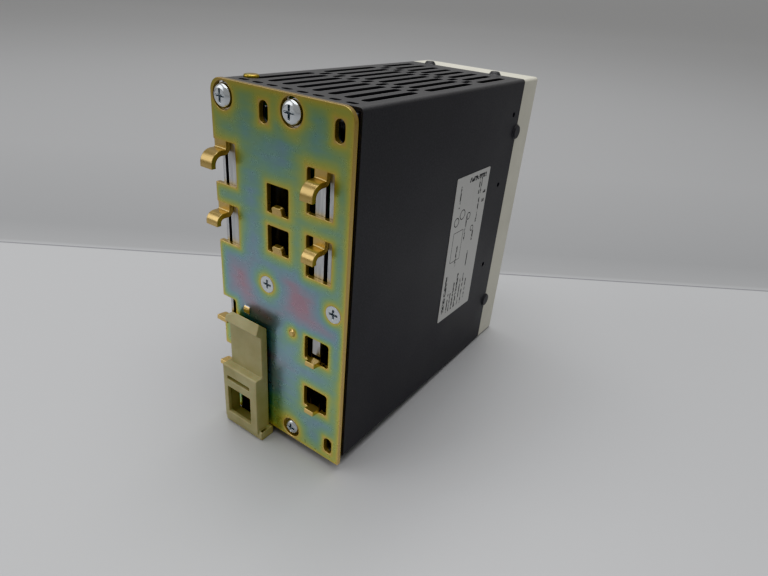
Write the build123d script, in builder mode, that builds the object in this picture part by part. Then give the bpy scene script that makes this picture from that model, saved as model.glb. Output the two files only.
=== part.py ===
from build123d import *
import os

# DIN rail power supply, seen from its front (-Y): +X to the right, +Z up, millimetres.
# Origin: middle of the box around the part, on its lowest level.
# Places are given as u, w, v: u runs from the plate's left edge seen from behind, w runs
# forwards from the plate's rear face, v runs up from the plate's lower edge.

# Driving dimensions
width = 65.0            # across the unit
height = 143.0          # rear plate, bottom to top
depth = 143.5           # rear face of the plate to the front face
latch_out = 8.0         # rail latch, how far it stands out behind the plate
foot_drop = 4.0         # open latch, how far its foot hangs below the plate
plate_t = 2.0           # rear plate
sheet_t = 1.0           # black housing sheet
chassis_t = 1.5         # aluminium chassis
wall_t = 2.0            # moulded front cover
board_t = 1.6           # printed circuit boards
edge_r = 1.4            # corners of the housing and the cover
inset = 0.9             # housing sides behind the plate's edges
shell_w0 = 4.8          # rear edge of the housing
shell_w1 = 127.5        # front edge of the housing, where the front cover starts
running = 0.05          # radial clearance of turning and sliding fits

y_rear = (depth + latch_out) / 2 - latch_out
u_mid = width / 2

rear = Plane(origin=(u_mid, y_rear, foot_drop), x_dir=(-1, 0, 0), z_dir=(0, 1, 0))


def across(u):
    """Plane seen from the side: local x is w, local y is v, its normal runs towards larger u."""
    return Plane(origin=(u_mid - u, y_rear, foot_drop), x_dir=(0, -1, 0), z_dir=(-1, 0, 0))


def level(v):
    """Plane seen from above: local x is u, local y is w, its normal is up."""
    return Plane(origin=(u_mid, y_rear, foot_drop + v), x_dir=(-1, 0, 0), z_dir=(0, 0, 1))


def facing(w):
    """Plane seen from the front: local x is X, local y is v, its normal runs forwards."""
    return Plane(origin=(0, y_rear - w, foot_drop), x_dir=(1, 0, 0), z_dir=(0, -1, 0))


def panel(x0, x1, y0, y1, radius=0.0, mode=Mode.ADD):
    """A rectangle in the sketch under way, given by its limits."""
    with Locations(((x0 + x1) / 2, (y0 + y1) / 2)):
        if radius > 0:
            RectangleRounded(x1 - x0, y1 - y0, radius, mode=mode)
        else:
            Rectangle(x1 - x0, y1 - y0, mode=mode)


def block(plane, x0, x1, y0, y1, length, radius=0.0, mode=Mode.ADD):
    """A prism in the part under way, standing on a plane."""
    with BuildSketch(plane) as profile:
        panel(x0, x1, y0, y1, radius)
    extrude(profile.sketch, amount=length, mode=mode)


def post(plane, places, radius, length, mode=Mode.ADD):
    """Round posts or holes in the part under way, one at each place."""
    with BuildSketch(plane) as profile:
        with Locations(*places):
            Circle(radius)
    extrude(profile.sketch, amount=length, mode=mode)


def save(piece, name):
    piece.part.label = name
    export_step(piece.part, f"parts/{name}.step")


os.makedirs("parts", exist_ok=True)

# ---------------------------------------------------------------- rear plate
hook_rows = (118.3, 94.3)       # v of the upper face of each row of rail hooks
hook_reach = (7.0, 6.2)         # how far the hooks of each row stand out
hook_drop = (6.2, 4.6)          # upper face to the tip
hook_bend = (4.0, 2.6)          # radius at the middle of the sheet
hook_places = ((0.5, 6.3), (49.4, 5.5))                 # u and width of each hook
hook_openings = ((-2.0, 11.5), (46.2, 57.9))            # u limits of the openings behind them
tab_rows = ((45.3, 55.7), (22.2, 32.0))                 # v limits of the lower openings
tab_openings = ((-2.0, 7.5), (46.2, 58.0))
tab_places = ((0.0, 6.0), (49.9, 4.5))
tongue_rows = ((100.3, 111.0), (85.0, 95.3))            # v limits of the middle openings
fixing_slots = ((59.4, 7.3), (59.4, 135.1), (26.4, 135.1))
slot_width = 4.0
slot_length = 7.4
pan_screws = ((6.2, 137.2), (39.2, 137.2))
pan_hole_r = 4.95               # the heads stand in these holes, on the chassis
low_screw = (39.0, 5.4)
flush_screws = ((26.3, 70.2), (59.6, 70.2))
shank_r = 1.95
shank_hole_r = 2.05
flush_head_r = 3.45
flush_depth = 1.55
track = (13.1, 19.3, 17.9, 40.2)        # u and v limits of the slot that the latch slides in


def strip(u, wide, points, bend):
    """A tongue bent up from the plate: a sheet section along a path in w and v."""
    with BuildSketch(across(u)) as profile:
        with BuildLine():
            FilletPolyline(*points, radius=bend)
        trace(line_width=plate_t)
    extrude(profile.sketch, amount=wide)


with BuildPart() as rear_plate:
    with BuildSketch(rear) as outline:
        panel(0, width, 0, height)
        corners = outline.vertices().group_by(Axis.Y)
        fillet(corners[-1], 5.0)
        fillet(corners[0], 2.5)
        for row in hook_rows:
            for u0, u1 in hook_openings:
                panel(u0, u1, row - 13.3, row + 2.9, 0.9, Mode.SUBTRACT)
        for v0, v1 in tab_rows:
            for u0, u1 in tab_openings:
                panel(u0, u1, v0, v1, 1.2, Mode.SUBTRACT)
        for v0, v1 in tongue_rows:
            panel(27.3, 37.7, v0, v1, 0.6, Mode.SUBTRACT)
        panel(*track, 0.2, Mode.SUBTRACT)
        with Locations(*fixing_slots):
            SlotOverall(slot_length, slot_width, rotation=90, mode=Mode.SUBTRACT)
        with Locations(*pan_screws):
            Circle(pan_hole_r, mode=Mode.SUBTRACT)
        with Locations(low_screw):
            Circle(4.4, mode=Mode.SUBTRACT)
    extrude(amount=-plate_t)
    mid = plate_t / 2
    for u, wide in hook_places:
        for row, reach, drop, bend in zip(hook_rows, hook_reach, hook_drop, hook_bend):
            tip = mid - reach
            strip(u, wide, ((mid, row + 5), (mid, row - mid), (tip, row - mid), (tip, row - drop)),
                  [1.6, bend])
    for u, wide in tab_places:
        for v0, v1 in tab_rows:
            strip(u, wide, ((mid, v0 - 3), (mid, v0 + 0.8), (-3.9, v0 + 1.4)), 1.4)
    for v0, v1 in tongue_rows:
        strip(29.6, 4.9, ((mid, v0 - 3), (mid, v0 + 0.6), (0.5, v0 + 3.0)), 1.6)
        top = rear_plate.faces().filter_by_position(Axis.Z, foot_drop + v0 + 2.2, foot_drop + v0 + 3.3)
        fillet(top.edges().filter_by(Axis.Y, tolerance=20).filter_by(GeomType.LINE), 1.3)
    # a half-shear dimple, and the low bridge that keeps the latch square
    with BuildSketch(rear):
        with Locations((39.8, 53.9)):
            Circle(1.5)
    extrude(amount=0.9, taper=25)
    with BuildSketch(across(13.0)):
        with BuildLine():
            ThreePointArc((0.5, 51.6), (-0.85, 54.0), (0.5, 56.4))
            Line((0.5, 56.4), (0.5, 51.6))
        make_face()
    extrude(amount=3.2)
    with Locations(*[rear * Location((u, v, 0)) for u, v in flush_screws]):
        CounterSinkHole(shank_hole_r, flush_head_r + running, counter_sink_angle=90)
save(rear_plate, "rear_plate")

# ---------------------------------------------------------------- rail latch
latch_gap = 1.1                 # between the latch and the plate
latch_u = (6.4, 26.8)           # lower block
neck_u = 8.3                    # the neck and the jaw start here
shoulder = 27.7                 # top of the lower block
latch_wall = 2.0                # the lower block is hollow behind its front wall
guide = (13.2, 19.2, 18.0, 36.0)        # stem that runs in the plate's slot
keeper = (10.7, 21.7)                   # wide foot of the stem, behind the plate

with BuildPart() as rail_latch:
    with BuildSketch(across(neck_u)):
        with BuildLine():
            Polyline((-latch_gap, 26), (-latch_gap, 50.5), (-5.2, 54.4), (-6.9, 49.6),
                     (-4.4, 47.4), (-4.4, 26), close=True)
        make_face()
    extrude(amount=latch_u[1] - neck_u)
    with BuildSketch(rear.offset(latch_out)):
        with BuildLine():
            Polyline((8.0, 51.8), (8.0, 56.0), (16.0, 56.0), (14.5, 54.5), close=True)
        make_face()
    extrude(amount=-latch_out, mode=Mode.SUBTRACT)
    block(across(latch_u[0]), -latch_out, -latch_gap, -1.0, shoulder, latch_u[1] - latch_u[0], 0.7)
    fillet(rail_latch.edges().filter_by(Axis.Y).group_by(Axis.X)[-1], 0.6)
    block(across(6.0), -7.2, -0.2, -foot_drop, 0.3, 22.3, 0.8)
    block(rear.offset(latch_out - latch_wall), latch_u[0] + latch_wall, latch_u[1] - latch_wall,
          0.9, 17.8, -latch_out, 0.8, Mode.SUBTRACT)
    block(rear.offset(latch_out + 1), 8.9, 22.7, 2.7, 16.7, -latch_out, 0.5, Mode.SUBTRACT)
    block(rear.offset(latch_out + 1), 9.0, 22.5, 20.6, 22.5, -4.0, 0.4, Mode.SUBTRACT)
    block(rear.offset(latch_gap + 0.5), *guide, -(latch_gap + 0.5 + plate_t + 0.4))
    block(rear.offset(-plate_t - 0.15), *keeper, guide[2], guide[3], -1.9)
save(rail_latch, "rail_latch")

# ---------------------------------------------------------------- plate screws


def cross_recess(plane, places, across_flats, deep):
    """Cross recess in the heads of the screws in the part under way."""
    with BuildSketch(plane) as profile:
        with Locations(*places):
            Rectangle(across_flats, 0.95)
            Rectangle(0.95, across_flats)
    extrude(profile.sketch, amount=-deep, taper=8, mode=Mode.SUBTRACT)


with BuildPart() as plate_screws:
    post(rear.offset(-plate_t), pan_screws, 4.25, 3.2)
    fillet(plate_screws.edges().filter_by(GeomType.CIRCLE).group_by(Axis.Y)[-1], 2.0)
    post(rear.offset(-plate_t), [low_screw], 3.5, 2.3)
    fillet(plate_screws.edges().filter_by(GeomType.CIRCLE).group_by(Axis.Z)[0].group_by(Axis.Y)[-1], 1.7)
    post(rear.offset(-plate_t), (*pan_screws, low_screw), shank_r, -5.0)
    cross_recess(rear.offset(1.2), pan_screws, 4.8, 1.6)
    cross_recess(rear.offset(0.3), [low_screw], 4.2, 1.5)
save(plate_screws, "plate_screws")

with BuildPart() as flush_head_screws:
    with BuildSketch(rear):
        with Locations(*flush_screws):
            Circle(flush_head_r)
    extrude(amount=-flush_depth, taper=45)
    post(rear, flush_screws, shank_r - 0.1, -(plate_t + chassis_t))
    cross_recess(rear, flush_screws, 4.0, 1.3)
save(flush_head_screws, "countersunk_screws")

# ---------------------------------------------------------------- chassis
frame_u = (2.2, 62.8)
frame_v = (2.4, 140.6)
frame_w = 116.0
side_in = frame_u[0] + chassis_t
ear = (2.2, 12.0, 8.0, 22.0)            # u and w limits of the ears for the housing screws
ear_screw = (5.3, 14.6)
ear_head = 1.0                          # height of their heads
ear_screw_r = 1.5
window_cuts = (
    (16.0, 48.4, 77.0, 126.0),          # behind the upper and middle openings
    (9.5, 48.4, 10.5, 63.5),            # behind the latch
    (53.0, 54.6, 77.0, 126.0),          # slit beside the right hooks
    (52.4, 57.0, 47.2, 63.5),
    (48.4, 60.0, 16.0, 47.2),
    (3.7, 5.1, 77.0, 126.0),            # slit beside the left hooks
    (3.7, 9.5, 16.0, 63.5),
)

with BuildPart() as chassis:
    with BuildSketch(rear.offset(-plate_t)):
        panel(*frame_u, *frame_v)
        for cut in window_cuts:
            panel(*cut, mode=Mode.SUBTRACT)
        with Locations(*fixing_slots):
            SlotOverall(slot_length + 1.6, slot_width + 1.2, rotation=90, mode=Mode.SUBTRACT)
    extrude(amount=-chassis_t)
    block(across(frame_u[0]), plate_t, frame_w, *frame_v, chassis_t)
    block(across(frame_u[1] - chassis_t), plate_t, 14.0, *frame_v, chassis_t)
    block(level(frame_v[1] - chassis_t), *ear, chassis_t)
    block(level(frame_v[0]), *ear, chassis_t)
    post(rear, (*pan_screws, *flush_screws, low_screw), shank_hole_r, -(plate_t + chassis_t),
         Mode.SUBTRACT)
    post(level(frame_v[1] - 5), [ear_screw], ear_screw_r + running, 6, Mode.SUBTRACT)
    post(level(frame_v[0] - 1), [ear_screw], ear_screw_r + running, 6, Mode.SUBTRACT)
save(chassis, "chassis")

# ---------------------------------------------------------------- housing shell
shell_u = (inset, width - inset)
shell_v = (0.7, 142.3)
vent_rows = 8
vent_pitch = 7.0
vent_wide = 3.2
vent_columns = ((14.0, 45.0), (52.0, 86.5), (93.5, 118.0))      # w limits of the long slots
dash_columns = (48.5, 90.0)             # w of the short slots between them
side_holes = ((121.2, 127.1), (117.4, 94.3), (116.2, 51.6))
top_lances = (12.5, 48.6)               # u of the formed catches over the front cover
side_lances = (118.5, 26.0)             # v of the same on both sides
lance_w = 127.0                         # w of their middles
lance_r = 3.6
lance_tall = 1.4                        # on the top; a side one reaches the plate's edge


def vents():
    """The pattern of long slots in rows, with short ones between their ends."""
    for w0, w1 in vent_columns:
        with Locations((u_mid, (w0 + w1) / 2)):
            with GridLocations(vent_pitch, 1, vent_rows, 1):
                SlotOverall(w1 - w0, vent_wide, rotation=90)
    for w in dash_columns:
        with Locations((u_mid, w)):
            with GridLocations(vent_pitch, 1, vent_rows - 1, 1):
                SlotOverall(7.0, 2.6, rotation=90)
    with Locations((u_mid, 8.6)):
        with GridLocations(vent_pitch, 1, vent_rows, 1):
            SlotOverall(4.4, 2.6)


def lances(plane, places, radius, tall):
    """Round catches pressed out of the sheet, drawn in at the crown, reaching over the front cover."""
    with BuildSketch(plane) as profile:
        with Locations(*places):
            Circle(radius)
    extrude(profile.sketch, amount=tall, taper=35)


with BuildPart() as housing_shell:
    with BuildSketch(rear.offset(-shell_w0)):
        panel(*shell_u, *shell_v, edge_r)
        panel(shell_u[0] + sheet_t, shell_u[1] - sheet_t, shell_v[0] + sheet_t, shell_v[1] - sheet_t,
              edge_r - sheet_t, Mode.SUBTRACT)
    extrude(amount=-(shell_w1 - shell_w0))
    with BuildSketch(level(shell_v[1] - sheet_t - 0.5)):
        vents()
    extrude(amount=sheet_t + 1, mode=Mode.SUBTRACT)
    with BuildSketch(level(shell_v[0] - 0.5)):
        vents()
    extrude(amount=sheet_t + 1, mode=Mode.SUBTRACT)
    post(level(-1), [ear_screw], ear_screw_r + running, height + 2, Mode.SUBTRACT)
    post(across(shell_u[1] - 2), side_holes, 1.1, 4, Mode.SUBTRACT)
    post(across(-1), side_holes, 1.1, 4, Mode.SUBTRACT)
    lances(level(shell_v[1]), [(u, lance_w) for u in top_lances], lance_r * 0.8, lance_tall)
    side_places = [(lance_w, v) for v in side_lances]
    lances(across(shell_u[1]), side_places, lance_r, inset)
    lances(across(shell_u[0]), side_places, lance_r, -inset)
save(housing_shell, "housing_shell")

with BuildPart() as housing_screws:
    for v, out in ((shell_v[1], 1), (shell_v[0], -1)):
        post(level(v), [ear_screw], 2.9, ear_head * out)
        post(level(v), [ear_screw], ear_screw_r, -5.0 * out)
    fillet(housing_screws.edges().filter_by(GeomType.CIRCLE).group_by(Axis.Z)[-1], 0.7)
    fillet(housing_screws.edges().filter_by(GeomType.CIRCLE).group_by(Axis.Z)[0], 0.7)
save(housing_screws, "housing_screws")

with BuildPart() as rating_label:
    block(across(shell_u[1]), 73.5, 104.5, 34.7, 106.0, 0.15, 0.8)
save(rating_label, "rating_label")

# ---------------------------------------------------------------- front cover
lip_w = 122.0                           # the cover's lip reaches this far into the housing
lip_gap = 0.1
half_x = u_mid - inset
recess = (-25.0, 25.0, 64.0, 100.0)     # X and v limits of the pocket under the flap
recess_w = depth - 4.0                  # w of the pocket's floor
flap_axis = (-23.4, depth - 1.0)        # X and w of the flap's pivots
flap_t = 1.6
pivot_r = 0.75
trimmer = (-12.0, 84.0)                 # X and v
mode_switch = (8.5, 84.0)               # lever at rest
lever_travel = 3.0
light_places = ((-18.0, 106.0), (-10.0, 106.0))
light_r = 1.5
marker = (-20.0, 20.0, 46.0, 58.0)
marker_w = depth - 1.0
pole_pitch = 11.0
block_w = (122.5, 142.5)                # rear and front face of the terminal blocks
block_tall = 26.0
terminals = {"output": (4, 112.0), "input": (3, 8.0)}   # poles, v of the lower edge


def half_span(poles):
    return poles * pole_pitch / 2 + 1.0


with BuildPart() as front_cover:
    block(facing(shell_w1), -half_x, half_x, *shell_v, depth - shell_w1, edge_r)
    fillet(front_cover.faces().sort_by(Axis.Y)[0].edges(), 1.2)
    block(facing(shell_w1), -half_x + wall_t, half_x - wall_t, shell_v[0] + wall_t,
          shell_v[1] - wall_t, depth - shell_w1 - wall_t, 1.0, Mode.SUBTRACT)
    lip_x = half_x - sheet_t - lip_gap
    lip_v = (shell_v[0] + sheet_t + lip_gap, shell_v[1] - sheet_t - lip_gap)
    with BuildSketch(facing(lip_w)):
        panel(-lip_x, lip_x, *lip_v, 1.0)
        panel(-lip_x + 1.4, lip_x - 1.4, lip_v[0] + 1.4, lip_v[1] - 1.4, 0.5, Mode.SUBTRACT)
    extrude(amount=shell_w1 - lip_w + 1.0)
    block(facing(recess_w - wall_t), recess[0] - wall_t, recess[1] + wall_t, recess[2] - wall_t,
          recess[3] + wall_t, depth - recess_w)
    block(facing(recess_w), *recess, depth, 0.8, Mode.SUBTRACT)
    # finger notch beside the flap's free edge
    block(facing(depth - 3.0), recess[1] - 1, recess[1] + 1.4, 77.0, 87.0, 4, 0.6, Mode.SUBTRACT)
    # pivot holes above and below the pocket
    post(level(recess[2] - 1.6), [(u_mid - flap_axis[0], flap_axis[1])], pivot_r + running,
         recess[3] - recess[2] + 3.2, Mode.SUBTRACT)
    post(facing(recess_w - wall_t - 1), [trimmer], 2.8, wall_t + 2, Mode.SUBTRACT)
    block(facing(recess_w - wall_t - 1), mode_switch[0] - 1.8, mode_switch[0] + lever_travel + 1.8,
          mode_switch[1] - 1.6, mode_switch[1] + 1.6, wall_t + 2, 0.3, Mode.SUBTRACT)
    post(facing(depth - wall_t - 1), light_places, light_r + 0.1, wall_t + 2, Mode.SUBTRACT)
    block(facing(marker_w), marker[0] - 0.15, marker[1] + 0.15, marker[2] - 0.15,
          marker[3] + 0.15, 2, 0.4, Mode.SUBTRACT)
    for poles, v0 in terminals.values():
        half = half_span(poles) + 0.15
        block(facing(depth - wall_t - 1), -half, half, v0 - 0.15, v0 + block_tall + 0.15,
              wall_t + 2, 0.4, Mode.SUBTRACT)
save(front_cover, "front_cover")

with BuildPart() as cover_flap:
    tall = recess[3] - recess[2] - 0.6
    pivot = (u_mid - flap_axis[0], flap_axis[1])
    block(facing(flap_axis[1] - flap_t / 2), flap_axis[0], recess[1] - 0.4, recess[2] + 0.3,
          recess[3] - 0.3, flap_t)
    post(level(recess[2] + 0.3), [pivot], flap_t / 2, tall)
    post(level(recess[2] - 1.4), [pivot], pivot_r, tall + 3.4)
save(cover_flap, "cover_flap")

with BuildPart() as marker_plate:
    block(facing(marker_w + 0.05), *marker, 0.85, 0.4)
save(marker_plate, "marker_plate")

# ---------------------------------------------------------------- terminals
screw_up = 18.0                 # screw axis above the block's lower edge
entry_up = 6.5                  # middle of the wire entry above the same edge
entry = 5.2                     # wire entry, square
entry_w = 130.5                 # w of the entry's far end
head_r = 2.5
head_w = (139.5, 142.1)         # rear and front face of the screw head
screw_r = 1.5
screw_w = 127.5                 # w of the screw's far end
jaw_wide = 4.8
jaw_t = 1.6
jaw_w = (132.5, 138.5)
jaw_up = entry_up + entry / 2 + 0.15    # underside of the open jaw
jaw_gap = 0.2

for name, (poles, v0) in terminals.items():
    xs = [(i - (poles - 1) / 2) * pole_pitch for i in range(poles)]
    screws = [(x, v0 + screw_up) for x in xs]
    with BuildPart() as terminal_block:
        block(facing(block_w[0]), -half_span(poles), half_span(poles), v0, v0 + block_tall,
              block_w[1] - block_w[0])
        chamfer(terminal_block.faces().sort_by(Axis.Y)[0].edges(), 0.5)
        post(facing(head_w[0] - 0.1), screws, head_r + 0.1, 5, Mode.SUBTRACT)
        post(facing(screw_w - 0.1), screws, screw_r + running, 20, Mode.SUBTRACT)
        for x in xs:
            block(facing(entry_w), x - entry / 2, x + entry / 2, v0 + entry_up - entry / 2,
                  v0 + entry_up + entry / 2, 20, mode=Mode.SUBTRACT)
            block(facing(jaw_w[0] - jaw_gap), x - entry / 2, x + entry / 2, v0 + entry_up,
                  v0 + jaw_up + jaw_t + jaw_gap, jaw_w[1] - jaw_w[0] + 2 * jaw_gap,
                  mode=Mode.SUBTRACT)
    save(terminal_block, f"{name}_terminal_block")
    for number, x in enumerate(xs, 1):
        with BuildPart() as terminal_screw:
            post(facing(head_w[0]), [(x, v0 + screw_up)], head_r, head_w[1] - head_w[0])
            post(facing(screw_w), [(x, v0 + screw_up)], screw_r, head_w[0] - screw_w)
            block(facing(head_w[1] - 1.2), x - head_r, x + head_r, v0 + screw_up - 0.4,
                  v0 + screw_up + 0.4, 2, mode=Mode.SUBTRACT)
        save(terminal_screw, f"{name}_screw_{number}")
        with BuildPart() as terminal_jaw:
            block(facing(jaw_w[0]), x - jaw_wide / 2, x + jaw_wide / 2, v0 + jaw_up,
                  v0 + jaw_up + jaw_t, jaw_w[1] - jaw_w[0])
        save(terminal_jaw, f"{name}_jaw_{number}")

# ---------------------------------------------------------------- front board and its controls
front_board_w = (120.9, 122.5)
lamp_w = 127.5                  # w of the tips of the lamps
control_w = 130.6               # w at which the knob and the lever leave their bodies

with BuildPart() as front_board:
    block(facing(front_board_w[0]), -28.5, 28.5, 5.0, 138.0, board_t, 1.0)
save(front_board, "front_board")

with BuildPart() as status_leds:
    post(facing(front_board_w[1]), light_places, light_r, lamp_w - front_board_w[1])
    fillet(status_leds.edges().filter_by(GeomType.CIRCLE).group_by(Axis.Y)[0], 1.3)
save(status_leds, "status_leds")

with BuildPart() as light_pipes:
    post(facing(lamp_w + 0.3), light_places, light_r, depth - 0.1 - lamp_w - 0.3)
    block(facing(lamp_w + 2), light_places[0][0], light_places[1][0], light_places[0][1] - 0.8,
          light_places[0][1] + 0.8, 1.6)
save(light_pipes, "light_pipes")

with BuildPart() as trimmer_body:
    block(facing(front_board_w[1]), trimmer[0] - 4.75, trimmer[0] + 4.75, trimmer[1] - 4.75,
          trimmer[1] + 4.75, 8.0, 0.4)
save(trimmer_body, "trimmer_body")

with BuildPart() as trimmer_knob:
    post(facing(control_w), [trimmer], 2.5, 8.4)
    chamfer(trimmer_knob.edges().filter_by(GeomType.CIRCLE).group_by(Axis.Y)[0], 0.3)
    block(facing(control_w + 7.3), trimmer[0] - 2.6, trimmer[0] + 2.6, trimmer[1] - 0.4, trimmer[1] + 0.4,
          2, mode=Mode.SUBTRACT)
save(trimmer_knob, "trimmer_knob")

with BuildPart() as switch_body:
    block(facing(front_board_w[1]), mode_switch[0] - 4.5, mode_switch[0] + lever_travel + 4.5,
          mode_switch[1] - 3.5, mode_switch[1] + 3.5, 8.0, 0.4)
save(switch_body, "switch_body")

with BuildPart() as switch_lever:
    block(facing(control_w), mode_switch[0] - 1.5, mode_switch[0] + 1.5, mode_switch[1] - 1.25,
          mode_switch[1] + 1.25, 10.4, 0.3)
save(switch_lever, "switch_lever")

# ---------------------------------------------------------------- main board
board_u = 10.0
parts_u = board_u + board_t             # face of the board that carries the parts
board = (8.0, 120.7, 6.0, 137.0)        # w and v limits
liner_t = 0.4
stud_places = ((14.0, 12.0), (14.0, 131.0), (108.0, 12.0), (108.0, 131.0))
stud_r = 2.5

with BuildPart() as insulating_sheet:
    block(across(side_in), board[0], frame_w - 2, board[2], board[3], liner_t)
    post(across(side_in), stud_places, stud_r + 0.4, 1, Mode.SUBTRACT)
save(insulating_sheet, "insulating_sheet")

with BuildPart() as main_board:
    block(across(board_u), *board, board_t, 0.6)
    post(across(board_u), stud_places, 1.6, board_t, Mode.SUBTRACT)
save(main_board, "main_board")

with BuildPart() as board_studs:
    with BuildSketch(across(side_in)):
        with Locations(*stud_places):
            RegularPolygon(stud_r, 6)
            Circle(1.55, mode=Mode.SUBTRACT)
    extrude(amount=board_u - side_in)
save(board_studs, "board_studs")

with BuildPart() as board_screws:
    post(across(parts_u), stud_places, 2.7, 1.8)
    post(across(board_u - 4), stud_places, 1.5, 4 + board_t)
    fillet(board_screws.edges().filter_by(GeomType.CIRCLE).group_by(Axis.X)[0], 1.0)
save(board_screws, "board_screws")

with BuildPart() as board_connector:
    block(across(parts_u), 113.9, 120.8, 60.0, 84.0, 6.0)
save(board_connector, "board_connector")

# ---------------------------------------------------------------- parts on the main board

with BuildPart() as bulk_capacitors:
    post(across(parts_u), ((25.0, 24.0), (25.0, 50.0)), 12.4, 42.0)
    fillet(bulk_capacitors.edges().filter_by(GeomType.CIRCLE).group_by(Axis.X)[0], 1.0)
save(bulk_capacitors, "bulk_capacitors")

with BuildPart() as output_capacitors:
    post(across(parts_u), [(38.0 + 16.0 * i, 124.0) for i in range(4)], 6.25, 26.0)
    fillet(output_capacitors.edges().filter_by(GeomType.CIRCLE).group_by(Axis.X)[0], 0.8)
save(output_capacitors, "output_capacitors")

# a can laid flat on the board's rear edge, behind the plate's middle openings
with BuildPart() as buffer_capacitor:
    post(level(70.0), [(parts_u + 9.2, 13.4)], 9.0, 48.0)
    fillet(buffer_capacitor.edges().filter_by(GeomType.CIRCLE), 0.8)
save(buffer_capacitor, "buffer_capacitor")

core = (38.0, 80.0, 60.0, 94.0)         # w and v limits of the transformer's core
core_leg = 7.0
with BuildPart() as transformer_core:
    block(across(parts_u + 8), *core, 24.0)
    block(across(parts_u + 8), core[0] + core_leg, core[1] - core_leg, core[2] - 1, core[3] + 1, 24.0,
          mode=Mode.SUBTRACT)
    block(across(parts_u + 8), 53.0, 65.0, core[2], core[3], 24.0)
    block(across(parts_u + 8), core[0], core[1], core[2], core[2] + core_leg, 24.0)
    block(across(parts_u + 8), core[0], core[1], core[3] - core_leg, core[3], 24.0)
save(transformer_core, "transformer_core")

with BuildPart() as transformer_winding:
    block(across(parts_u), 45.2, 72.8, 67.2, 86.8, 40.0, 1.0)
    block(across(parts_u + 7.9), 52.8, 65.2, 66.0, 88.0, 24.2, mode=Mode.SUBTRACT)
save(transformer_winding, "transformer_winding")

with BuildPart() as primary_heatsink:
    block(across(parts_u + 0.5), 40.0, 104.0, 53.0, 55.5, 40.0)
    for w in (44.0, 52.0, 60.0, 68.0, 76.0):
        block(across(parts_u + 12), w, w + 1.2, 48.5, 53.0, 28.0)
save(primary_heatsink, "primary_heatsink")

with BuildPart() as power_transistors:
    for w in (84.0, 95.0):
        block(across(parts_u + 6), w, w + 8.0, 48.4, 53.0, 20.0, 0.3)
save(power_transistors, "power_transistors")

with BuildPart() as secondary_heatsink:
    block(across(parts_u + 0.5), 36.0, 104.0, 109.0, 111.5, 40.0)
    for w in (40.0, 48.0, 56.0, 64.0):
        block(across(parts_u + 12), w, w + 1.2, 104.5, 109.0, 28.0)
save(secondary_heatsink, "secondary_heatsink")

with BuildPart() as rectifier_diodes:
    for w in (74.0, 86.0):
        block(across(parts_u + 6), w, w + 8.0, 104.4, 109.0, 20.0, 0.3)
save(rectifier_diodes, "rectifier_diodes")

choke = (97.0, 88.0)
with BuildPart() as output_choke_core:
    with BuildSketch(across(parts_u + 3)):
        with Locations(choke):
            Circle(10.0)
            Circle(6.0, mode=Mode.SUBTRACT)
    extrude(amount=11.0)
save(output_choke_core, "output_choke_core")

with BuildPart() as output_choke_winding:
    turns = 14
    for i in range(turns):
        with BuildSketch(across(parts_u + 1.6)):
            with Locations(choke):
                with PolarLocations(8.0, 1, start_angle=360 * i / turns):
                    Rectangle(7.4, 1.4)
        extrude(amount=13.8)
    with BuildSketch(across(parts_u + 2.9)):
        with Locations(choke):
            Circle(10.1)
            Circle(5.9, mode=Mode.SUBTRACT)
    extrude(amount=11.2, mode=Mode.SUBTRACT)
save(output_choke_winding, "output_choke_winding")

with BuildPart() as emi_choke:
    block(across(parts_u), 66.0, 94.0, 14.0, 36.0, 24.0, 1.5)
save(emi_choke, "mains_filter_choke")

with BuildPart() as x_capacitor:
    block(across(parts_u), 44.0, 60.0, 14.0, 38.0, 20.0, 0.8)
save(x_capacitor, "filter_capacitor")

with BuildPart() as bridge_rectifier:
    block(across(parts_u + 3), 98.0, 112.0, 40.0, 44.0, 18.0, 0.6)
    for w in (99.5, 103.0, 106.5, 110.0):
        block(across(parts_u), w - 0.5, w + 0.5, 41.6, 42.4, 3.0)
save(bridge_rectifier, "bridge_rectifier")

with BuildPart() as mains_fuse:
    block(across(parts_u), 98.0, 114.0, 22.0, 30.0, 9.0, 0.8)
save(mains_fuse, "mains_fuse")

with BuildPart() as inrush_relay:
    block(across(parts_u), 84.0, 104.0, 61.0, 73.0, 15.0, 0.5)
save(inrush_relay, "inrush_relay")

with BuildPart() as thermistor:
    with BuildSketch(level(33.0)):
        with Locations((parts_u + 9.0, 106.0)):
            Circle(6.5)
    extrude(amount=4.0)
    for w in (103.5, 108.5):
        block(across(parts_u), w - 0.4, w + 0.4, 34.6, 35.4, 4.6)
save(thermistor, "inrush_thermistor")

with BuildPart() as control_board:
    block(across(parts_u), 26.0, 27.2, 96.0, 126.0, 26.0)
save(control_board, "control_board")
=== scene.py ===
import math

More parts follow.
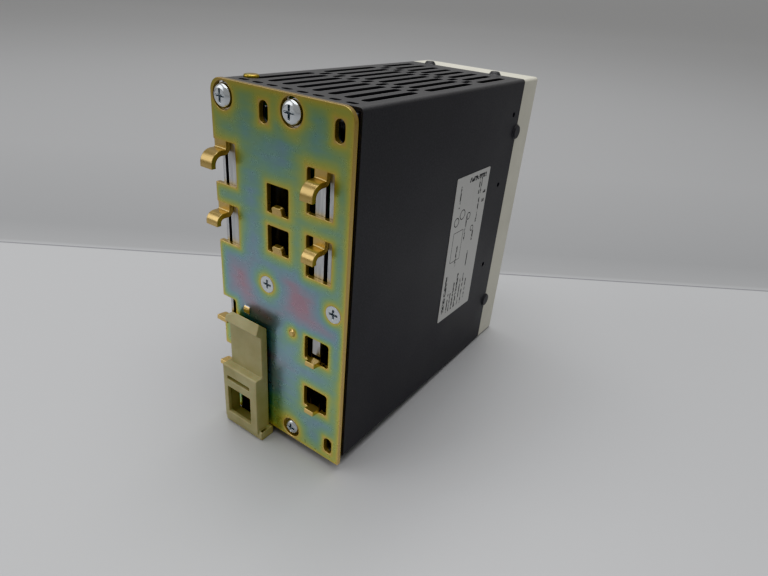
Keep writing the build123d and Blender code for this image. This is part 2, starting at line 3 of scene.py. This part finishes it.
import bpy
import numpy as np
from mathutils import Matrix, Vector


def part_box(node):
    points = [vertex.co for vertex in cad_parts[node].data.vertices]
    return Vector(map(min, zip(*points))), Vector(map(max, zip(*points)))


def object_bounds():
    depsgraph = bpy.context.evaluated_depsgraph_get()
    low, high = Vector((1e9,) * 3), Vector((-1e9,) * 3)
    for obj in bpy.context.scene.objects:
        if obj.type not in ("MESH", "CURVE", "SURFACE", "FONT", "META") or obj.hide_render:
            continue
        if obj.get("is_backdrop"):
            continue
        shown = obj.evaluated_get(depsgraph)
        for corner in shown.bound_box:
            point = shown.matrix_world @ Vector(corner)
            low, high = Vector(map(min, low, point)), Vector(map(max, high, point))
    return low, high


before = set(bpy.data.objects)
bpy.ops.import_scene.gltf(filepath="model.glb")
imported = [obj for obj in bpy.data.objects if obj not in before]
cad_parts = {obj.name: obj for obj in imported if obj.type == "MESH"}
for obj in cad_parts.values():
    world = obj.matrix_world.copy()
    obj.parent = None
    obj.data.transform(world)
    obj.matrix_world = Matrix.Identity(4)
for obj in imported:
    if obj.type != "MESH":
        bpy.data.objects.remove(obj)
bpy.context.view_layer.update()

# ------------------------------------------------------------------------------ rear plate
# Punched and folded 2 mm steel sheet, zinc plated and then passivated in yellow chromate.
# The chromate film is thin and gold at every cut edge and thicker in the flats, where it
# turns green, blue and mauve; it is screwed to the chassis behind it.
mm = 0.001
plate_low, plate_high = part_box("rear_plate")
plate_thick = 2.0 * mm
plate_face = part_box("chassis")[1].y + plate_thick      # y of the plate's rear face
film_reach = 3.0 * mm           # how quickly the film thickens away from an edge
edge_blend = 3.0 * mm           # how softly the distances to two edges run together
cloud_size = 25.0 * mm          # the film's slow drift
streak_size = 3.5 * mm          # the marks left by the sheet's draining
streak_rise = math.radians(14)
face_depth = 0.25 * mm          # what counts as the rear face itself
sheet_edge = 0.22 * mm          # rounding of a punched edge

# openings as left, right, bottom and top, in millimetres from the plate's lower left corner
plate_openings = (
    [(u, u + 11.7, v, v + 16.2) for u in (-0.2, 46.2) for v in (81.0, 105.0)]
    + [(u, u + 11.8, v, v + 10.1) for u in (-4.3, 46.2) for v in (22.0, 45.4)]
    + [(27.3, 37.7, v, v + 10.5) for v in (85.0, 100.4)]
    + [(u - 2.0, u + 2.0, v - 3.7, v + 3.7) for u, v in ((59.4, 7.3), (59.4, 135.1), (26.4, 135.1))]
)
# round holes, countersinks and the dimple as across, up and radius
plate_fixings = (
    (6.2, 137.2, 4.95), (39.2, 137.2, 4.95), (39.0, 5.4, 4.4), (26.3, 70.2, 3.4), (59.6, 70.2, 3.4),
    (39.8, 53.9, 1.5),
)


def linear(colour):
    """Linear red, green, blue and alpha of an sRGB hex colour: each channel c becomes
    ((c + 0.055) / 1.055) to the power 2.4, or c / 12.92 up to 0.04045."""
    channels = [int(colour[i:i + 2], 16) / 255 for i in (1, 3, 5)]
    return [c / 12.92 if c <= 0.04045 else ((c + 0.055) / 1.055) ** 2.4 for c in channels] + [1.0]


def add(tree, kind, inputs=(), stops=(), **settings):
    """Adds a shader node with its settings and a ramp's stops. An input given as a socket is linked,
    and any other input is set."""
    node = tree.nodes.new("ShaderNode" + kind)
    for name, value in settings.items():
        setattr(node, name, value)
    for name, value in dict(inputs).items():
        if isinstance(value, bpy.types.NodeSocket):
            tree.links.new(value, node.inputs[name])
        else:
            node.inputs[name].default_value = value
    for number, (place, colour) in enumerate(stops):
        ramp = node.color_ramp.elements
        element = ramp[number] if number < 2 else ramp.new(place)
        element.position = place
        element.color = linear(colour) if isinstance(colour, str) else (colour, colour, colour, 1)
    return node


def finish(name, colour, roughness, metallic=0.0, **sockets):
    """A new material with one Principled shader. Returns the material, its tree, the shader and
    the object's own coordinates, in metres."""
    material = bpy.data.materials.new(name)
    material.use_nodes = True
    tree = material.node_tree
    tree.nodes.clear()
    values = {"Base Color": linear(colour), "Roughness": roughness, "Metallic": metallic}
    values.update({key.replace("_", " ").title().replace("Ior", "IOR"): v for key, v in sockets.items()})
    shader = add(tree, "BsdfPrincipled", values)
    add(tree, "OutputMaterial", {"Surface": shader.outputs["BSDF"]})
    place = add(tree, "TexCoord").outputs["Object"]
    return material, tree, shader, place


def box_distance(tree, place, low, high):
    """Distance outside a box, 0 inside it: the length of max(|p - centre| - half size, 0)."""
    centre = [(a + b) / 2 for a, b in zip(low, high)]
    half = [abs(b - a) / 2 for a, b in zip(low, high)]
    step = add(tree, "VectorMath", {0: place, 1: centre}, operation="SUBTRACT").outputs[0]
    step = add(tree, "VectorMath", {0: step}, operation="ABSOLUTE").outputs[0]
    step = add(tree, "VectorMath", {0: step, 1: half}, operation="SUBTRACT").outputs[0]
    step = add(tree, "VectorMath", {0: step, 1: (0, 0, 0)}, operation="MAXIMUM").outputs[0]
    return add(tree, "VectorMath", {0: step}, operation="LENGTH").outputs["Value"]


def grain(tree, shader, place, size, height, detail=2.0, stretch=(1, 1, 1)):
    """Bumps about size across and height tall, in metres, on the shader's normal."""
    scaled = add(tree, "Mapping", {"Vector": place, "Scale": stretch}).outputs[0]
    noise = add(tree, "TexNoise", {"Vector": scaled, "Scale": 1 / size, "Detail": detail})
    bump = add(tree, "Bump", {"Height": noise.outputs["Fac"], "Distance": height, "Strength": 1.0})
    tree.links.new(bump.outputs[0], shader.inputs["Normal"])
    return noise.outputs["Fac"]


def dress(node, material, edge=0.0):
    """Gives a CAD node its finish. Its loose triangles are joined, its flats made whole, and every
    sharp edge is rounded to that radius; normals weighted by area keep the flats flat."""
    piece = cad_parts[node]
    mesh = piece.data
    mesh.materials.clear()
    mesh.materials.append(material)
    if edge:
        for name in ("custom_normal", "sharp_edge", "sharp_face"):
            if name in mesh.attributes:
                mesh.attributes.remove(mesh.attributes[name])
        piece.modifiers.new("joined", "WELD").merge_threshold = 0.001 * mm
        flat = piece.modifiers.new("flats", "DECIMATE")
        flat.decimate_type = "DISSOLVE"
        flat.angle_limit = math.radians(0.6)
        bevel = piece.modifiers.new("edges", "BEVEL")
        bevel.width = edge
        bevel.segments = 2
        bevel.limit_method = "ANGLE"
        bevel.angle_limit = math.radians(40)
        bevel.use_clamp_overlap = False
        bevel.loop_slide = False
        normals = piece.modifiers.new("normals", "WEIGHTED_NORMAL")
        normals.weight = 80
    return piece


def zinc_chromate():
    """Yellow chromate over bright zinc: a semi-gloss metal whose tint follows the film's thickness, and is
    painted brighter towards the bottom as a painted reflection of the floor.
    """
    material, tree, shader, place = finish("yellow chromate on zinc", "#8b8a56", 0.28, 0.85)
    nearest = None
    for u0, u1, v0, v1 in plate_openings:
        low = (plate_high.x - u1 * mm, -1, plate_low.z + v0 * mm)
        high = (plate_high.x - u0 * mm, 1, plate_low.z + v1 * mm)
        away = box_distance(tree, place, low, high)
        nearest = away if nearest is None else add(
            tree, "Math", {0: nearest, 1: away, 2: edge_blend}, operation="SMOOTH_MIN").outputs[0]
    for u, v, radius in plate_fixings:
        centre = (plate_high.x - u * mm, -1, plate_low.z + v * mm)
        away = box_distance(tree, place, centre, (centre[0], 1, centre[2]))
        away = add(tree, "Math", {0: away, 1: radius * mm}, operation="SUBTRACT").outputs[0]
        nearest = add(tree, "Math", {0: nearest, 1: away, 2: edge_blend}, operation="SMOOTH_MIN").outputs[0]
    # distance inwards from the outline, in from each side and from top and bottom
    middle = [(a + b) / 2 for a, b in zip(plate_low, plate_high)]
    half = [(b - a) / 2 for a, b in zip(plate_low, plate_high)]
    inward = add(tree, "VectorMath", {0: place, 1: middle}, operation="SUBTRACT").outputs[0]
    inward = add(tree, "VectorMath", {0: inward}, operation="ABSOLUTE").outputs[0]
    inward = add(tree, "VectorMath", {0: half, 1: inward}, operation="SUBTRACT").outputs[0]
    inward = add(tree, "SeparateXYZ", {0: inward})
    for axis in ("X", "Z"):
        nearest = add(tree, "Math", {0: nearest, 1: inward.outputs[axis], 2: edge_blend},
                      operation="SMOOTH_MIN").outputs[0]
    nearest = add(tree, "Math", {0: nearest, 1: 0.0}, operation="MAXIMUM").outputs[0]
    over = add(tree, "Math", {0: nearest, 1: film_reach}, operation="ADD").outputs[0]
    thick = add(tree, "Math", {0: nearest, 1: over}, operation="DIVIDE").outputs[0]

    # the film's full thickness up the plate: thin at the top, thickest below the middle
    apart = add(tree, "SeparateXYZ", {0: place})
    up = add(tree, "MapRange", {"Value": apart.outputs["Z"], "From Min": plate_low.z,
                                "From Max": plate_high.z})
    full = add(tree, "ValToRGB", {0: up.outputs[0]}, stops=(
        (0.0, 0.62), (1.0, 0.62), (0.12, 0.80), (0.30, 0.90), (0.42, 1.25), (0.53, 1.12), (0.60, 0.92),
        (0.80, 0.86), (0.92, 0.74)))
    phase = add(tree, "Math", {0: thick, 1: full.outputs[0]}, operation="MULTIPLY").outputs[0]

    # cloudy drift, and wiping streaks that rise a little to the right
    cloud = add(tree, "TexNoise", {"Vector": place, "Scale": 1 / cloud_size, "Detail": 3.0, "Roughness": 0.55})
    turned = add(tree, "Mapping", {"Vector": place, "Rotation": (0, streak_rise, 0), "Scale": (0.16, 1, 1)})
    streak = add(tree, "TexNoise", {"Vector": turned.outputs[0], "Scale": 1 / streak_size, "Detail": 3.0})
    for pattern, share in ((cloud, 0.90), (streak, 0.42)):
        swing = add(tree, "Math", {0: pattern.outputs["Fac"], 1: 0.5}, operation="SUBTRACT").outputs[0]
        swing = add(tree, "Math", {0: swing, 1: thick}, operation="MULTIPLY").outputs[0]
        phase = add(tree, "Math", {0: swing, 1: share, 2: phase}, operation="MULTIPLY_ADD").outputs[0]

    # bent hooks and cut rims stay gold: the film counts only on the rear face itself
    on_face = add(tree, "Math", {0: apart.outputs["Y"], 1: plate_face, 2: face_depth},
                  operation="COMPARE").outputs[0]
    phase = add(tree, "Math", {0: phase, 1: on_face}, operation="MULTIPLY").outputs[0]
    tint = add(tree, "ValToRGB", {0: phase}, stops=(
        (0.0, "#a58f62"), (1.0, "#8b767f"), (0.12, "#a09556"), (0.28, "#8c945f"), (0.42, "#798f70"),
        (0.54, "#708b80"), (0.66, "#70868e"), (0.78, "#77828c"), (0.88, "#807e89")))
    # the plate's colour is painted paler and brighter towards the bottom: a painted reflection of the pale
    # floor below it
    pale = add(tree, "MapRange", {"Value": up.outputs[0], "To Min": 2.1, "To Max": 1.0})
    tint = add(tree, "VectorMath", {0: tint.outputs[0], "Scale": pale.outputs[0]}, operation="SCALE")
    tree.links.new(tint.outputs[0], shader.inputs["Base Color"])
    wear = add(tree, "TexNoise", {"Vector": place, "Scale": 1 / 0.004, "Detail": 4.0})
    rough = add(tree, "MapRange", {"Value": wear.outputs["Fac"], "To Min": 0.20, "To Max": 0.38})
    tree.links.new(rough.outputs[0], shader.inputs["Roughness"])
    grain(tree, shader, place, 0.6 * mm, 0.012 * mm)
    return material


dress("rear_plate", zinc_chromate(), sheet_edge)

# ------------------------------------------------------------------------------ rail latch
# Injection moulded polyamide in ivory, which slides in a slot of the plate. It is dull and a
# little translucent, with the fine texture of a spark-eroded mould and some handling dirt.


def ivory_polyamide():
    """Ivory polyamide, moulded: warm and matt, slightly yellower in patches."""
    material, tree, shader, place = finish("moulded ivory polyamide", "#ada67f", 0.55, 0.0,
                                           subsurface_weight=0.12, subsurface_scale=0.0015, ior=1.53)
    patch = add(tree, "TexNoise", {"Vector": place, "Scale": 1 / 0.012, "Detail": 4.0})
    tint = add(tree, "ValToRGB", {0: patch.outputs["Fac"]}, stops=((0.30, "#9f976e"), (0.70, "#b5ad87")))
    tree.links.new(tint.outputs[0], shader.inputs["Base Color"])
    grain(tree, shader, place, 0.45 * mm, 0.02 * mm)
    return material


dress("rail_latch", ivory_polyamide(), 0.35 * mm)

# ------------------------------------------------------------------------------ plate screws
# Cross recess machine screws, cold headed and bright zinc plated, so they are the shiniest
# metal on the part; three pan heads and two countersunk heads hold plate and chassis together.


def bright_zinc():
    """Bright zinc plating: a cool, almost mirror-like metal with faint drag marks from the bath."""
    material, tree, shader, place = finish("bright zinc plating", "#c9cdd0", 0.2, 1.0)
    mark = add(tree, "TexNoise", {"Vector": place, "Scale": 1 / 0.0012, "Detail": 3.0})
    rough = add(tree, "MapRange", {"Value": mark.outputs["Fac"], "To Min": 0.12, "To Max": 0.34})
    tree.links.new(rough.outputs[0], shader.inputs["Roughness"])
    grain(tree, shader, place, 0.7 * mm, 0.01 * mm)
    return material


zinc_bright = bright_zinc()
for node in ("plate_screws", "countersunk_screws", "board_screws"):
    dress(node, zinc_bright, 0.08 * mm)

# ------------------------------------------------------------------------------ chassis
# Folded 1.5 mm aluminium sheet in mill finish, which carries the boards. Rolling leaves fine
# lines along its height; it shows as bright strips through the openings of the plate.


def mill_aluminium():
    """Mill-finish aluminium: pale, with rolling lines 0.4 mm apart along Z."""
    material, tree, shader, place = finish("mill finish aluminium", "#c4c5c6", 0.38, 1.0)
    lines = add(tree, "Mapping", {"Vector": place, "Scale": (1, 1, 0.03)})
    rolled = add(tree, "TexNoise", {"Vector": lines.outputs[0], "Scale": 1 / 0.0004, "Detail": 3.0})
    tint = add(tree, "ValToRGB", {0: rolled.outputs["Fac"]}, stops=((0.3, "#aeb0b2"), (0.7, "#cfd0d1")))
    tree.links.new(tint.outputs[0], shader.inputs["Base Color"])
    rough = add(tree, "MapRange", {"Value": rolled.outputs["Fac"], "To Min": 0.30, "To Max": 0.48})
    tree.links.new(rough.outputs[0], shader.inputs["Roughness"])
    return material


aluminium = mill_aluminium()
for node in ("chassis", "primary_heatsink", "secondary_heatsink"):
    dress(node, aluminium, 0.15 * mm)

# ------------------------------------------------------------------------------ housing shell
# A wrap of 1 mm steel sheet with rows of punched slots above and below, powder coated in
# anthracite. The powder flows out to a fine orange peel and keeps a satin gloss.


def powder_coat():
    """Anthracite polyester powder coat: near black, satin, with orange peel 0.5 mm across."""
    material, tree, shader, place = finish("anthracite powder coat", "#3f3f41", 0.42, 0.0, ior=1.5)
    speck = add(tree, "TexNoise", {"Vector": place, "Scale": 1 / 0.0007, "Detail": 3.0})
    tint = add(tree, "ValToRGB", {0: speck.outputs["Fac"]}, stops=((0.35, "#3b3b3d"), (0.7, "#444446")))
    tree.links.new(tint.outputs[0], shader.inputs["Base Color"])
    handled = add(tree, "TexNoise", {"Vector": place, "Scale": 1 / 0.03, "Detail": 4.0})
    rough = add(tree, "MapRange", {"Value": handled.outputs["Fac"], "To Min": 0.36, "To Max": 0.5})
    tree.links.new(rough.outputs[0], shader.inputs["Roughness"])
    grain(tree, shader, place, 0.5 * mm, 0.02 * mm)
    return material


dress("housing_shell", powder_coat(), 0.15 * mm)


def yellow_zinc():
    """Yellow passivated zinc on small fasteners: gold with a green cast."""
    material, tree, shader, place = finish("yellow passivated zinc", "#b39a55", 0.3, 1.0)
    patch = add(tree, "TexNoise", {"Vector": place, "Scale": 1 / 0.003, "Detail": 2.0})
    tint = add(tree, "ValToRGB", {0: patch.outputs["Fac"]}, stops=((0.3, "#a98643"), (0.7, "#aeab62")))
    tree.links.new(tint.outputs[0], shader.inputs["Base Color"])
    return material


zinc_yellow = yellow_zinc()
for node in ("housing_screws", "board_studs"):
    dress(node, zinc_yellow, 0.08 * mm)

# ------------------------------------------------------------------------------ rating label
# Silver polyester film with a printed back, stuck to the side of the housing. The print is
# generic: a heading bar, lines of word-like dashes along the label, a table frame and rings.
label_low, label_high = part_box("rating_label")
ink_edge = 0.12 * mm

# printed lines that run up the label: across from its rear edge, bottom, top and thickness, millimetres
label_lines = (
    (3.2, 4.0, 24.0, 1.9), (6.8, 3.2, 15.0, 0.8), (9.0, 3.2, 13.0, 0.8), (11.6, 3.2, 19.0, 1.0),
    (14.4, 3.2, 22.0, 1.3), (17.6, 3.2, 18.0, 0.8), (20.4, 3.2, 20.0, 0.8), (23.6, 5.0, 16.0, 0.8),
    (8.8, 27.0, 38.0, 1.0), (20.6, 24.0, 32.0, 0.8), (14.2, 39.0, 52.0, 0.9), (22.6, 37.0, 42.0, 1.0),
    (23.8, 46.0, 58.0, 0.9), (5.0, 57.0, 67.0, 0.8), (22.4, 60.0, 67.0, 0.8), (24.2, 60.0, 68.0, 0.8),
)
# broken blocks and the table's frame as nearest and furthest from the rear edge, bottom and top
label_blocks = ((12.0, 28.0, 67.4, 69.4), (27.0, 29.4, 55.0, 56.4), (27.0, 29.4, 59.4, 60.8))
label_table = (4.0, 12.0, 31.0, 45.0)
# rings as across, up and radius
label_rings = ((4.6, 50.6, 2.0), (9.4, 53.2, 2.2), (15.6, 51.0, 1.6), (21.0, 43.6, 1.3))


def printed_film():
    """Satin silver film with dark ink. A line's ink is broken into words by a noise along it."""
    material, tree, shader, place = finish("printed silver film", "#c2c2c0", 0.42, 0.25)
    apart = add(tree, "SeparateXYZ", {0: place})
    words = add(tree, "Mapping", {"Vector": place, "Scale": (1, 1.6, 1)})
    words = add(tree, "TexNoise", {"Vector": words.outputs[0], "Scale": 1 / 0.0016, "Detail": 1.0})
    gap = add(tree, "MapRange", {"Value": words.outputs["Fac"], "From Min": 0.40, "From Max": 0.52})
    ink = None
    shapes = [((label_high.y - (across + wide / 2) * mm, label_low.z + low * mm),
               (label_high.y - (across - wide / 2) * mm, label_low.z + high * mm), gap)
              for across, low, high, wide in label_lines]
    shapes += [((label_high.y - far * mm, label_low.z + low * mm),
                (label_high.y - near * mm, label_low.z + high * mm), gap)
               for near, far, low, high in label_blocks]
    for low, high, broken in shapes:
        away = box_distance(tree, place, (-1, *low), (1, *high))
        dark = add(tree, "MapRange", {"Value": away, "From Min": 0.0, "From Max": ink_edge,
                                      "To Min": 1.0, "To Max": 0.0}).outputs[0]
        dark = add(tree, "Math", {0: dark, 1: broken.outputs[0]}, operation="MULTIPLY").outputs[0]
        ink = dark if ink is None else add(tree, "Math", {0: ink, 1: dark}, operation="MAXIMUM").outputs[0]
    for across, up, radius in label_rings:
        centre = (0, label_high.y - across * mm, label_low.z + up * mm)
        away = box_distance(tree, place, (-1, *centre[1:]), (1, *centre[1:]))
        ring = add(tree, "Math", {0: away, 1: radius * mm, 2: 0.22 * mm}, operation="COMPARE").outputs[0]
        ink = add(tree, "Math", {0: ink, 1: ring}, operation="MAXIMUM").outputs[0]
    # the table's frame is a band at an even distance outside its box
    near, far, bottom, top = label_table
    low = (-1, label_high.y - far * mm, label_low.z + bottom * mm)
    high = (1, label_high.y - near * mm, label_low.z + top * mm)
    away = box_distance(tree, place, low, high)
    line = add(tree, "Math", {0: away, 1: 0.35 * mm, 2: 0.15 * mm}, operation="COMPARE").outputs[0]
    ink = add(tree, "Math", {0: ink, 1: line}, operation="MAXIMUM").outputs[0]
    brushed = add(tree, "TexNoise", {"Vector": apart.outputs["Y"], "Scale": 1 / 0.0003, "Detail": 2.0})
    silver = add(tree, "ValToRGB", {0: brushed.outputs["Fac"]}, stops=((0.3, "#bcbcba"), (0.7, "#c8c8c6")))
    colour = add(tree, "Mix", {0: ink, 6: silver.outputs[0], 7: linear("#2b2b2d")}, data_type="RGBA")
    tree.links.new(colour.outputs[2], shader.inputs["Base Color"])
    return material


dress("rating_label", printed_film())

# ------------------------------------------------------------------------------ front cover
# Moulded ABS in light cream, snapped over the front of the housing by the sheet's catches. It
# has a fine mould texture and the even, dull gloss of unpainted plastic.


def cream_abs(name="moulded cream ABS", light="#d3d1c6", dark="#cac8bc"):
    """Cream ABS: opaque, matt, with texture 0.4 mm across."""
    material, tree, shader, place = finish(name, light, 0.5, 0.0, ior=1.53)
    patch = add(tree, "TexNoise", {"Vector": place, "Scale": 1 / 0.02, "Detail": 3.0})
    tint = add(tree, "ValToRGB", {0: patch.outputs["Fac"]}, stops=((0.3, dark), (0.7, light)))
    tree.links.new(tint.outputs[0], shader.inputs["Base Color"])
    grain(tree, shader, place, 0.4 * mm, 0.015 * mm)
    return material


dress("front_cover", cream_abs(), 0.15 * mm)
dress("marker_plate", cream_abs("moulded white marker", "#e2e2de", "#dadad6"), 0.15 * mm)

# ------------------------------------------------------------------------------ flap, light pipes
# Clear polycarbonate: the flap over the controls swings on two moulded pivots, and the pipes
# carry the light of two lamps on the front board to the cover's face.


def clear_polycarbonate():
    """Clear polycarbonate: glossy and see-through, faintly grey."""
    material, tree, shader, place = finish("clear polycarbonate", "#dfe6e6", 0.06, 0.0,
                                           ior=1.585, transmission_weight=0.92)
    grain(tree, shader, place, 6 * mm, 0.03 * mm)
    return material


polycarbonate = clear_polycarbonate()
dress("cover_flap", polycarbonate, 0.1 * mm)
dress("light_pipes", polycarbonate)

# ------------------------------------------------------------------------------ terminals
# Two rows of screw terminals in green polyamide on the front board. The screws are tinned
# steel with a slot, and each one draws a plated jaw down on the wire.


def moulded(name, light, dark, roughness=0.5, size=0.4 * mm):
    """A moulded plastic in two close tones, with the mould's texture."""
    material, tree, shader, place = finish(name, light, roughness, 0.0, ior=1.5)
    patch = add(tree, "TexNoise", {"Vector": place, "Scale": 1 / 0.006, "Detail": 4.0})
    tint = add(tree, "ValToRGB", {0: patch.outputs["Fac"]}, stops=((0.3, dark), (0.7, light)))
    tree.links.new(tint.outputs[0], shader.inputs["Base Color"])
    grain(tree, shader, place, size, 0.015 * mm)
    return material


def tinned_steel():
    """Tin plating over steel: soft white metal, brushed by the driver."""
    material, tree, shader, place = finish("tinned steel", "#bdbcb7", 0.3, 1.0)
    rub = add(tree, "TexNoise", {"Vector": place, "Scale": 1 / 0.0006, "Detail": 3.0})
    rough = add(tree, "MapRange", {"Value": rub.outputs["Fac"], "To Min": 0.2, "To Max": 0.45})
    tree.links.new(rough.outputs[0], shader.inputs["Roughness"])
    return material


green_polyamide = moulded("moulded green polyamide", "#3f6e46", "#375f3e")
tin = tinned_steel()
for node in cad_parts:
    if node.endswith("terminal_block"):
        dress(node, green_polyamide, 0.2 * mm)
    elif "_jaw_" in node or node.split("_screw_")[0] in ("output", "input"):
        dress(node, tin, 0.1 * mm)

# ------------------------------------------------------------------------------ controls
# The trimmer and the mode switch on the front board: blue moulded bodies, an orange knob with
# a driver slot and an orange lever, and two green lamps.
control_blue = moulded("moulded blue control body", "#2f5a8c", "#294f7c")
control_orange = moulded("moulded orange control", "#c2602a", "#b05524")
dress("trimmer_body", control_blue, 0.15 * mm)
dress("switch_body", control_blue, 0.15 * mm)
dress("trimmer_knob", control_orange, 0.1 * mm)
dress("switch_lever", control_orange, 0.15 * mm)
lamp = finish("clear green epoxy", "#4fae5c", 0.1, 0.0, ior=1.55, transmission_weight=0.5)
dress("status_leds", lamp[0])

# ------------------------------------------------------------------------------ boards
# Glass-epoxy laminate with green solder mask; the tracks below it show as paler lines on a
# 1.27 mm grid, and the insulating sheet beside the main board is a tan aramid paper.


def solder_mask():
    """Green solder mask over copper tracks that follow a square grid."""
    material, tree, shader, place = finish("green solder mask", "#1f5a34", 0.28, 0.0, ior=1.5)
    tracks = add(tree, "TexVoronoi", {"Vector": place, "Scale": 1 / 0.005}, distance="MANHATTAN",
                 feature="F1")
    line = add(tree, "ValToRGB", {0: tracks.outputs["Distance"]}, stops=(
        (0.30, "#1b4f2d"), (0.62, "#1b4f2d"), (0.34, "#2f7a48"), (0.46, "#2f7a48"), (0.50, "#1b4f2d")))
    tree.links.new(line.outputs[0], shader.inputs["Base Color"])
    return material


board_green = solder_mask()
for node in ("front_board", "main_board", "control_board"):
    dress(node, board_green, 0.1 * mm)
dress("insulating_sheet", moulded("tan aramid paper", "#b3a685", "#a3966f", 0.7, 0.8 * mm))

# ------------------------------------------------------------------------------ board parts
# Parts soldered to the main board. Each kind has its usual finish: shrink sleeve on the cans,
# sintered ferrite, polyester tape, enamelled copper, and potted or moulded cases.


def sleeved_can():
    """Black PVC shrink sleeve: glossy, in two close tones."""
    material, tree, shader, place = finish("shrink sleeved can", "#202022", 0.3, 0.0, ior=1.5)
    tone = add(tree, "TexNoise", {"Vector": place, "Scale": 1 / 0.004, "Detail": 3.0})
    tint = add(tree, "ValToRGB", {0: tone.outputs["Fac"]}, stops=((0.3, "#1b1b1d"), (0.7, "#28282b")))
    tree.links.new(tint.outputs[0], shader.inputs["Base Color"])
    return material


def enamelled_copper():
    """Enamelled copper wire: warm metal under a clear coat."""
    material, tree, shader, place = finish("enamelled copper wire", "#b0653a", 0.3, 1.0, coat_weight=0.6)
    turns = add(tree, "TexNoise", {"Vector": place, "Scale": 1 / 0.001, "Detail": 2.0})
    tint = add(tree, "ValToRGB", {0: turns.outputs["Fac"]}, stops=((0.3, "#9a5530"), (0.7, "#bd7446")))
    tree.links.new(tint.outputs[0], shader.inputs["Base Color"])
    return material


sleeve = sleeved_can()
ferrite = moulded("sintered ferrite", "#3a3a3c", "#2e2e30", 0.65)
tape = moulded("yellow polyester tape", "#b99b3c", "#a88a31", 0.35)
epoxy = moulded("black moulding epoxy", "#222224", "#1a1a1c", 0.5)
for node, material in (
    ("bulk_capacitors", sleeve), ("output_capacitors", sleeve), ("buffer_capacitor", sleeve),
    ("transformer_core", ferrite),
    ("output_choke_core", ferrite), ("transformer_winding", tape), ("mains_filter_choke", tape),
    ("output_choke_winding", enamelled_copper()), ("board_connector", epoxy), ("power_transistors", epoxy),
    ("rectifier_diodes", epoxy), ("bridge_rectifier", epoxy), ("inrush_thermistor", epoxy),
    ("filter_capacitor", moulded("potted yellow case", "#a89a3f", "#978a36")),
    ("inrush_relay", moulded("blue relay case", "#1f3358", "#1a2b4b")),
    ("mains_fuse", moulded("glazed fuse body", "#d6d4cc", "#cbc9c0", 0.3)),
):
    dress(node, material, 0.15 * mm)

# ------------------------------------------------------------------------------ stage
# A pale floor that leans with the part, which stands on the latch's foot and the cover's lower
# edge. A thin seam across it stands for the end of the table.
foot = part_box("rail_latch")
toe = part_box("front_cover")
foot_y = foot[1].y - 0.8 * mm
toe_y = toe[0].y + 2.0 * mm
rise = (toe[0].z - foot[0].z) / (foot_y - toe_y)
floor_reach = 30.0


def floor_mesh():
    """A square grid of one face: z = rise * (foot_y - y), so it touches the foot and the toe."""
    side = np.array([-floor_reach, floor_reach])
    x, y = np.meshgrid(side, side)
    z = foot[0].z + rise * (foot_y - y) - 0.02 * mm
    mesh = bpy.data.meshes.new("floor")
    mesh.from_pydata(np.stack([x.ravel(), y.ravel(), z.ravel()], 1).tolist(), [], [(0, 1, 3, 2)])
    return mesh


seam_at = (0.0, -0.1373)        # a point of the seam on the floor
seam_turn = math.radians(214.4)     # its direction
seam_half = 0.8 * mm            # half its width
floor = bpy.data.objects.new("floor", floor_mesh())
bpy.context.scene.collection.objects.link(floor)
material, tree, shader, place = finish("white melamine board", "#b8b9bb", 0.4, 0.0)
across = add(tree, "VectorMath", {0: place, 1: (*seam_at, 0)}, operation="SUBTRACT").outputs[0]
across = add(tree, "VectorMath", {0: across, 1: (-math.sin(seam_turn), math.cos(seam_turn), 0)},
             operation="DOT_PRODUCT").outputs["Value"]
# past the seam the board is painted a darker grey, the painted shade of a wall behind the table, lighter again
# far off
painted_wall_shade = add(tree, "MapRange", {"Value": across, "From Min": -0.002, "From Max": 2.0})
tone = add(tree, "ValToRGB", {0: painted_wall_shade.outputs[0]}, stops=(
    (0.0, "#b8b9bb"), (1.0, "#bdbec0"), (0.004, "#a1a2a4"), (0.02, "#9a9b9d"), (0.12, "#a5a6a8")))
seam = add(tree, "Math", {0: across, 1: 0.0, 2: seam_half}, operation="COMPARE").outputs[0]
tone = add(tree, "Mix", {0: seam, 6: tone.outputs[0], 7: linear("#8d8e92")}, data_type="RGBA")
tree.links.new(tone.outputs[2], shader.inputs["Base Color"])
floor.data.materials.append(material)
floor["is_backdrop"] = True

# ------------------------------------------------------------------------------ light and camera
# Soft light from a large panel above, a weaker one on the side of the plate, and pale air all
# around, as in a light tent.
world = bpy.data.worlds.new("pale room")
world.use_nodes = True
world.node_tree.nodes["Background"].inputs["Color"].default_value = linear("#efeeec")
world.node_tree.nodes["Background"].inputs["Strength"].default_value = 0.48
bpy.context.scene.world = world
for name, spot, size, power in (
    ("panel above", (0.1, -0.1, 1.4), 1.4, 16.0),
    ("panel behind", (0.9, 0.9, 0.7), 0.9, 4.0),
):
    light = bpy.data.lights.new(name, "AREA")
    light.size = size
    light.energy = power
    lamp_object = bpy.data.objects.new(name, light)
    lamp_object.location = spot
    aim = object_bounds()[0] + (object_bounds()[1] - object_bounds()[0]) / 2 - lamp_object.location
    lamp_object.rotation_euler = aim.to_track_quat("-Z", "Y").to_euler()
    bpy.context.scene.collection.objects.link(lamp_object)

camera = bpy.data.cameras.new("camera")
camera.sensor_width = 36.0
camera.lens = 26.268
camera_object = bpy.data.objects.new("camera", camera)
camera_object.location = (-0.13570, 0.20129, 0.17849)
camera_object.rotation_euler = [math.radians(turn) for turn in (61.783, -4.464, -144.262)]
bpy.context.scene.collection.objects.link(camera_object)
bpy.context.scene.camera = camera_object
bpy.context.scene.view_settings.view_transform = "Khronos PBR Neutral"
